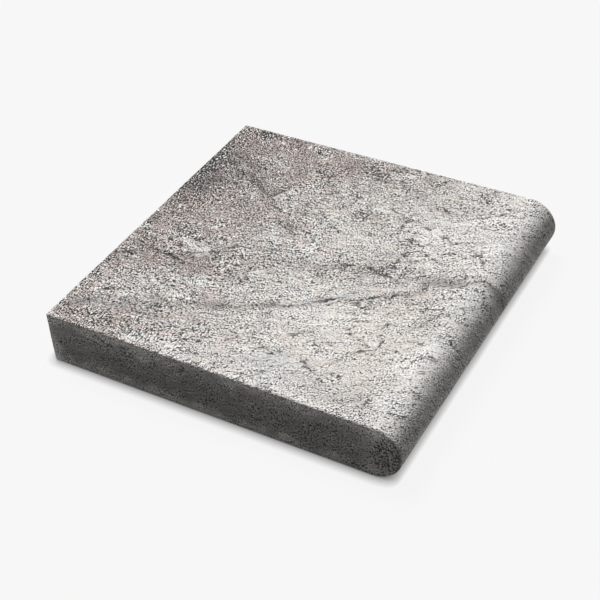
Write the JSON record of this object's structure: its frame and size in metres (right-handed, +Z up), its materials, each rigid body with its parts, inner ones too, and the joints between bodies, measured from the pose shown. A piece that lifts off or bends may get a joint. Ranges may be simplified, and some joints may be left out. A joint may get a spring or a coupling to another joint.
{
  "type": "bullnose tile",
  "caption": "Square slab of grey stone with one long edge worked to a full round nose, for pool surrounds, steps and sills.",
  "frame": {"origin": "middle of the tile's outline, on the bedding face", "axes": "+X across the tile, from the back edge to the round nose; +Y along the nose; +Z up, from the bedding face to the walked face"},
  "size_m": [0.305, 0.305, 0.0476],
  "materials": {
    "brushed_stone": "matte"
  },
  "bodies": {
    "root": {"bullnose_tile": "brushed_stone"}
  },
  "joints": []
}
